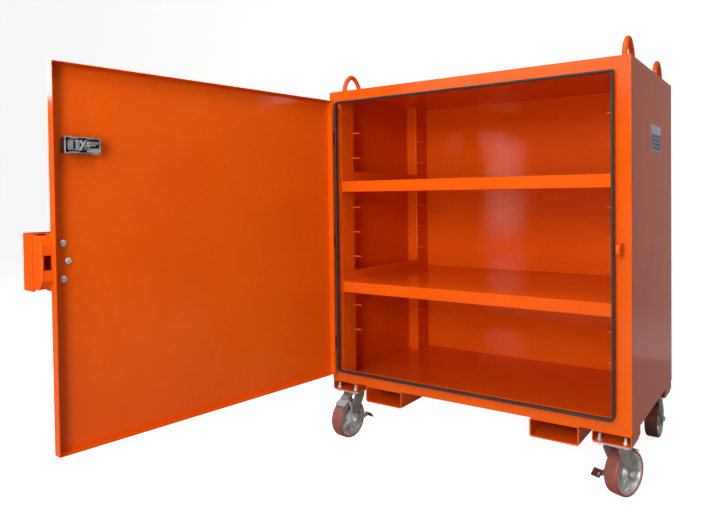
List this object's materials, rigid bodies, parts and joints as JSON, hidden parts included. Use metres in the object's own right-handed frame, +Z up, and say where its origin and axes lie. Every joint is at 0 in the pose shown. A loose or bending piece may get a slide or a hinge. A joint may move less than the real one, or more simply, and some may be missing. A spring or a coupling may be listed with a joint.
{
  "type": "rolling tool box",
  "caption": "Steel site cabinet on four swivel castors with one large hinged door, two pull-out shelves, fork pockets and lifting eyes.",
  "frame": {"origin": "on the floor, under the centre of the cabinet body's footprint", "axes": "+Z up; the door opening faces -Y; +X is to the right of someone facing the opening"},
  "size_m": [1.367, 1.8858, 1.467],
  "materials": {
    "orange_paint": "gloss powder coat, orange",
    "zinc_plate": "zinc plated",
    "seal_rubber": "black edge seal",
    "plate_metal": "satin plate, blank",
    "handle_black": "black",
    "castor_grey": "dull zinc plated fork",
    "cast_grey": "grey painted cast centre",
    "red_polyurethane": "satin red polyurethane",
    "brake_paint": "dark red-brown"
  },
  "bodies": {
    "cabinet": {"side_panel_left": "orange_paint", "side_panel_right": "orange_paint", "back_panel": "orange_paint", "roof_panel": "orange_paint", "floor_panel": "orange_paint", "stile_left": "orange_paint", "stile_right": "orange_paint", "rail_top": "orange_paint", "rail_bottom": "orange_paint", "post_front_left": "orange_paint", "post_front_right": "orange_paint", "post_back_left": "orange_paint", "post_back_right": "orange_paint", "shelf_tabs": "orange_paint", "fork_pocket_left": "orange_paint", "fork_pocket_right": "orange_paint", "castor_tube_fl": "orange_paint", "castor_tube_fr": "orange_paint", "castor_tube_rl": "orange_paint", "castor_tube_rr": "orange_paint", "lifting_eye_fl": "orange_paint", "lifting_eye_fr": "orange_paint", "lifting_eye_rl": "orange_paint", "lifting_eye_rr": "orange_paint", "hasp_staple": "orange_paint", "hinge_leaves": "orange_paint", "castor_bolts": "zinc_plate", "hinge_pins": "zinc_plate", "castor_plate_fl": "zinc_plate", "castor_plate_fr": "zinc_plate", "castor_plate_rl": "zinc_plate", "castor_plate_rr": "zinc_plate", "door_seal": "seal_rubber", "data_plate": "plate_metal", "plate_rivets": "plate_metal"},
    "door": {"door_pan": "orange_paint", "door_knuckles": "orange_paint", "lock_box": "orange_paint", "lock_guard": "orange_paint", "lock_bolts": "zinc_plate", "latch_case": "zinc_plate"},
    "latch_bolt": {"latch_bolt": "zinc_plate"},
    "latch_handle": {"latch_handle": "handle_black"},
    "upper_shelf": {"shelf_upper": "orange_paint"},
    "lower_shelf": {"shelf_lower": "orange_paint"},
    "castor_fork_fl": {"fork_fl": "castor_grey"},
    "wheel_fl": {"wheel_core_fl": "cast_grey", "tyre_fl": "red_polyurethane"},
    "brake_fl": {"brake_lever_fl": "brake_paint"},
    "castor_fork_fr": {"fork_fr": "castor_grey"},
    "wheel_fr": {"wheel_core_fr": "cast_grey", "tyre_fr": "red_polyurethane"},
    "brake_fr": {"brake_lever_fr": "brake_paint"},
    "castor_fork_rl": {"fork_rl": "castor_grey"},
    "wheel_rl": {"wheel_core_rl": "cast_grey", "tyre_rl": "red_polyurethane"},
    "castor_fork_rr": {"fork_rr": "castor_grey"},
    "wheel_rr": {"wheel_core_rr": "cast_grey", "tyre_rr": "red_polyurethane"}
  },
  "joints": [
    {"name": "door_hinge", "type": "hinge", "parent": "cabinet", "child": "door", "pos_m": [-0.5482, -0.379, 0.8], "axis": [0, 0, 1], "range_deg": [-82.6, 97.4]},
    {"name": "latch_turn", "type": "hinge", "parent": "door", "child": "latch_handle", "pos_m": [-0.67436, -1.35034, 1.119], "axis": [0.9917, -0.1288, 0], "range_deg": [0, 90]},
    {"name": "bolt_throw", "type": "slide", "parent": "door", "child": "latch_bolt", "axis": [-0.1288, -0.9917, 0], "range_m": [0, 0.027]},
    {"name": "upper_shelf_slide", "type": "slide", "parent": "cabinet", "child": "upper_shelf", "axis": [0, 1, 0], "range_m": [-0.62, 0]},
    {"name": "lower_shelf_slide", "type": "slide", "parent": "cabinet", "child": "lower_shelf", "axis": [0, 1, 0], "range_m": [-0.62, 0]},
    {"name": "swivel_fl", "type": "hinge", "parent": "cabinet", "child": "castor_fork_fl", "pos_m": [-0.51, -0.291, 0.18], "axis": [0, 0, 1], "continuous": true},
    {"name": "roll_fl", "type": "hinge", "parent": "castor_fork_fl", "child": "wheel_fl", "pos_m": [-0.51418, -0.33078, 0.075], "axis": [0.9945, -0.1045, 0], "continuous": true},
    {"name": "brake_press_fl", "type": "hinge", "parent": "castor_fork_fl", "child": "brake_fl", "pos_m": [-0.51418, -0.33078, 0.075], "axis": [-0.9945, 0.1045, 0], "range_deg": [0, 20]},
    {"name": "swivel_fr", "type": "hinge", "parent": "cabinet", "child": "castor_fork_fr", "pos_m": [0.51, -0.291, 0.18], "axis": [0, 0, 1], "continuous": true},
    {"name": "roll_fr", "type": "hinge", "parent": "castor_fork_fr", "child": "wheel_fr", "pos_m": [0.52433, -0.25366, 0.075], "axis": [-0.9336, 0.3584, 0], "continuous": true},
    {"name": "brake_press_fr", "type": "hinge", "parent": "castor_fork_fr", "child": "brake_fr", "pos_m": [0.52433, -0.25366, 0.075], "axis": [0.9336, -0.3584, 0], "range_deg": [0, 20]},
    {"name": "swivel_rl", "type": "hinge", "parent": "cabinet", "child": "castor_fork_rl", "pos_m": [-0.51, 0.291, 0.18], "axis": [0, 0, 1], "continuous": true},
    {"name": "roll_rl", "type": "hinge", "parent": "castor_fork_rl", "child": "wheel_rl", "pos_m": [-0.51, 0.331, 0.075], "axis": [-1, 0, 0], "continuous": true},
    {"name": "swivel_rr", "type": "hinge", "parent": "cabinet", "child": "castor_fork_rr", "pos_m": [0.51, 0.291, 0.18], "axis": [0, 0, 1], "continuous": true},
    {"name": "roll_rr", "type": "hinge", "parent": "castor_fork_rr", "child": "wheel_rr", "pos_m": [0.51, 0.331, 0.075], "axis": [-1, 0, 0], "continuous": true}
  ],
  "couplings": [
    {"joint": "bolt_throw", "follows": "latch_turn", "m_per_rad": 0.017189}
  ]
}
